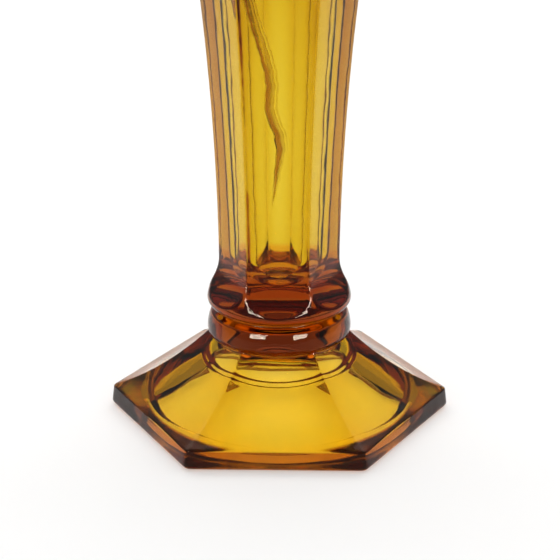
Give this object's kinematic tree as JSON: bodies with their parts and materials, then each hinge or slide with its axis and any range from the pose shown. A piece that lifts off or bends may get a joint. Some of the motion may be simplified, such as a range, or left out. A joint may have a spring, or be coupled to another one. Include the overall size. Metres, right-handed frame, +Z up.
{
  "type": "glass candlestick",
  "caption": "Amber pressed-glass candlestick: six-sided foot, two knop rings, a flared hollow column and a lift-out candle cup.",
  "frame": {"origin": "on the axis, in the plane that the foot stands on", "axes": "+Z up the column; +X towards a corner of the six-sided foot; -Y is the front, square to a flat side"},
  "size_m": [0.1076, 0.094, 0.1814],
  "materials": {
    "amber_glass": "clear golden amber pressed glass, fire-polished, deeper orange where it is thick"
  },
  "bodies": {
    "stand": {"foot": "amber_glass", "knop_ring": "amber_glass", "column": "amber_glass"},
    "cup": {"candle_cup": "amber_glass"}
  },
  "joints": [
    {"name": "candle_cup_lift", "type": "slide", "parent": "stand", "child": "cup", "axis": [0, 0, 1], "range_m": [0, 0.03]}
  ]
}
